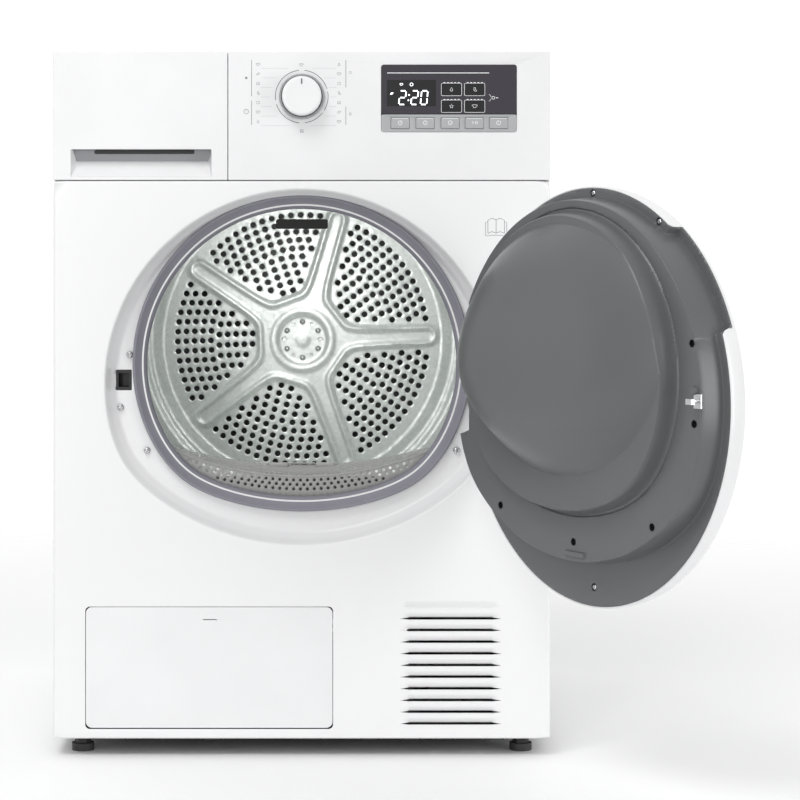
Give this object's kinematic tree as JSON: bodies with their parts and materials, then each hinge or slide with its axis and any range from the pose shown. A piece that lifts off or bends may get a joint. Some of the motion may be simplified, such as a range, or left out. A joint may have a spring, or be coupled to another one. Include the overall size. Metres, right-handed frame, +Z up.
{
  "type": "clothes dryer",
  "caption": "Front-loading heat-pump clothes dryer with an open round door, perforated drum back, lint filter, water tank drawer, dial, keys and service flap.",
  "frame": {"origin": "on the floor, at the middle of the four feet", "axes": "+Z up, -Y towards the user in front, +X to the user's right"},
  "size_m": [0.7544, 1.0108, 0.845],
  "materials": {
    "enamel_white": "satin white enamel",
    "plastic_white": "satin white moulded plastic",
    "steel_zinc": "galvanised sheet",
    "steel_plate": "pale green-grey coated sheet",
    "steel_bright": "bright steel",
    "plastic_grey": "fine-grained grey plastic",
    "plastic_dark": "black plastic",
    "display_dark": "dark printed window",
    "key_silver": "silver painted plastic",
    "seal_grey": "grey-violet seal",
    "felt_dark": "wool felt",
    "rubber_black": "black rubber",
    "cast_iron": "black enamelled steel",
    "fin_aluminium": "thin aluminium fins",
    "copper": "copper pipe",
    "board_green": "circuit board",
    "tank_clear": "milky plastic",
    "lamp_lens": "lamp lens"
  },
  "bodies": {
    "cabinet": {"side_left": "enamel_white", "side_right": "enamel_white", "front_panel": "enamel_white", "rear_panel": "steel_zinc", "worktop": "plastic_white", "base_tray": "plastic_dark", "fascia": "plastic_white", "front_bulkhead": "steel_zinc", "rear_duct": "plastic_grey", "door_seal": "seal_grey", "drum_lamp": "lamp_lens", "air_grille": "plastic_grey", "drum_felts": "felt_dark", "rear_bearing": "steel_bright", "drum_belt": "rubber_black", "motor_body": "steel_zinc", "fan_housing": "plastic_grey", "tension_spring": "steel_bright", "compressor": "cast_iron", "evaporator": "fin_aluminium", "condenser": "fin_aluminium", "refrigerant_pipes": "copper", "condensate_pump": "plastic_grey", "tank_housing": "plastic_grey", "display_window": "display_dark", "control_board": "board_green", "hinge_leaf": "steel_bright", "door_lock": "plastic_dark", "cabinet_screws": "steel_bright", "cable_gland": "plastic_dark"},
    "drum": {"drum_shell": "steel_zinc", "drum_back": "steel_plate", "drum_lifters": "plastic_grey", "drum_shaft": "steel_bright", "hub_rivets": "steel_bright"},
    "rotor": {"motor_shaft": "steel_bright", "fan_wheel": "plastic_dark"},
    "arm": {"tension_arm": "steel_zinc"},
    "idler": {"idler_pulley": "plastic_dark"},
    "roller_l": {"roller_left": "rubber_black"},
    "roller_r": {"roller_right": "rubber_black"},
    "door": {"door_liner": "plastic_grey", "door_cover": "plastic_white", "door_hinge_arm": "steel_zinc", "door_hook": "steel_bright", "door_screws": "steel_bright"},
    "knob": {"programme_knob": "plastic_white"},
    "drawer": {"water_tank": "tank_clear", "tank_front": "plastic_white"},
    "filter": {"lint_filter": "plastic_grey"},
    "flap": {"service_flap": "plastic_white"},
    "key_delay_cap": {"key_delay": "key_silver"},
    "key_time_cap": {"key_time": "key_silver"},
    "key_dryness_cap": {"key_dryness": "key_silver"},
    "key_start_cap": {"key_start": "key_silver"},
    "key_power_cap": {"key_power": "key_silver"},
    "foot_fl": {"foot_front_left": "rubber_black"},
    "foot_fr": {"foot_front_right": "rubber_black"},
    "foot_rl": {"foot_rear_left": "rubber_black"},
    "foot_rr": {"foot_rear_right": "rubber_black"}
  },
  "joints": [
    {"name": "door_hinge", "type": "hinge", "parent": "cabinet", "child": "door", "pos_m": [0.214, -0.316, 0.443], "axis": [0, 0, 1], "range_deg": [-122, 38]},
    {"name": "drum_spin", "type": "hinge", "parent": "cabinet", "child": "drum", "pos_m": [0, 0, 0.482], "axis": [0, 1, 0], "continuous": true},
    {"name": "motor_spin", "type": "hinge", "parent": "cabinet", "child": "rotor", "pos_m": [0.2, 0.1, 0.195], "axis": [0, 1, 0], "continuous": true},
    {"name": "roller_left_spin", "type": "hinge", "parent": "cabinet", "child": "roller_l", "pos_m": [-0.17454, -0.17, 0.23273], "axis": [0, 1, 0], "continuous": true},
    {"name": "roller_right_spin", "type": "hinge", "parent": "cabinet", "child": "roller_r", "pos_m": [0.17454, -0.17, 0.23273], "axis": [0, 1, 0], "continuous": true},
    {"name": "arm_pivot", "type": "hinge", "parent": "cabinet", "child": "arm", "pos_m": [0.15, 0.03, 0.105], "axis": [0, 1, 0], "range_deg": [-8, 0], "stiffness_Nm_per_rad": 3, "springref_deg": 11.46},
    {"name": "idler_spin", "type": "hinge", "parent": "arm", "child": "idler", "pos_m": [0.08689, 0.017, 0.17583], "axis": [0, 1, 0], "continuous": true},
    {"name": "programme_turn", "type": "hinge", "parent": "cabinet", "child": "knob", "pos_m": [0, -0.31, 0.7911], "axis": [0, -1, 0], "continuous": true},
    {"name": "drawer_slide", "type": "slide", "parent": "cabinet", "child": "drawer", "axis": [0, 1, 0], "range_m": [-0.42, 0]},
    {"name": "filter_slide", "type": "slide", "parent": "cabinet", "child": "filter", "axis": [0, 0, 1], "range_m": [0, 0.165]},
    {"name": "flap_hinge", "type": "hinge", "parent": "cabinet", "child": "flap", "pos_m": [0, -0.29875, 0.0356], "axis": [1, 0, 0], "range_deg": [0, 88]},
    {"name": "key_delay_press", "type": "slide", "parent": "cabinet", "child": "key_delay_cap", "axis": [0, 1, 0], "range_m": [0, 0.0012], "stiffness_N_per_m": 900, "springref_m": -0.0006},
    {"name": "key_time_press", "type": "slide", "parent": "cabinet", "child": "key_time_cap", "axis": [0, 1, 0], "range_m": [0, 0.0012], "stiffness_N_per_m": 900, "springref_m": -0.0006},
    {"name": "key_dryness_press", "type": "slide", "parent": "cabinet", "child": "key_dryness_cap", "axis": [0, 1, 0], "range_m": [0, 0.0012], "stiffness_N_per_m": 900, "springref_m": -0.0006},
    {"name": "key_start_press", "type": "slide", "parent": "cabinet", "child": "key_start_cap", "axis": [0, 1, 0], "range_m": [0, 0.0012], "stiffness_N_per_m": 900, "springref_m": -0.0006},
    {"name": "key_power_press", "type": "slide", "parent": "cabinet", "child": "key_power_cap", "axis": [0, 1, 0], "range_m": [0, 0.0012], "stiffness_N_per_m": 900, "springref_m": -0.0006},
    {"name": "foot_front_left_height", "type": "slide", "parent": "cabinet", "child": "foot_fl", "axis": [0, 0, -1], "range_m": [0, 0.01]},
    {"name": "foot_front_right_height", "type": "slide", "parent": "cabinet", "child": "foot_fr", "axis": [0, 0, -1], "range_m": [0, 0.01]},
    {"name": "foot_rear_left_height", "type": "slide", "parent": "cabinet", "child": "foot_rl", "axis": [0, 0, -1], "range_m": [0, 0.01]},
    {"name": "foot_rear_right_height", "type": "slide", "parent": "cabinet", "child": "foot_rr", "axis": [0, 0, -1], "range_m": [0, 0.01]}
  ],
  "couplings": [
    {"joint": "motor_spin", "follows": "drum_spin", "ratio": 28},
    {"joint": "roller_left_spin", "follows": "drum_spin", "ratio": -11.667},
    {"joint": "roller_right_spin", "follows": "drum_spin", "ratio": -11.667},
    {"joint": "idler_spin", "follows": "drum_spin", "ratio": -18.667}
  ]
}
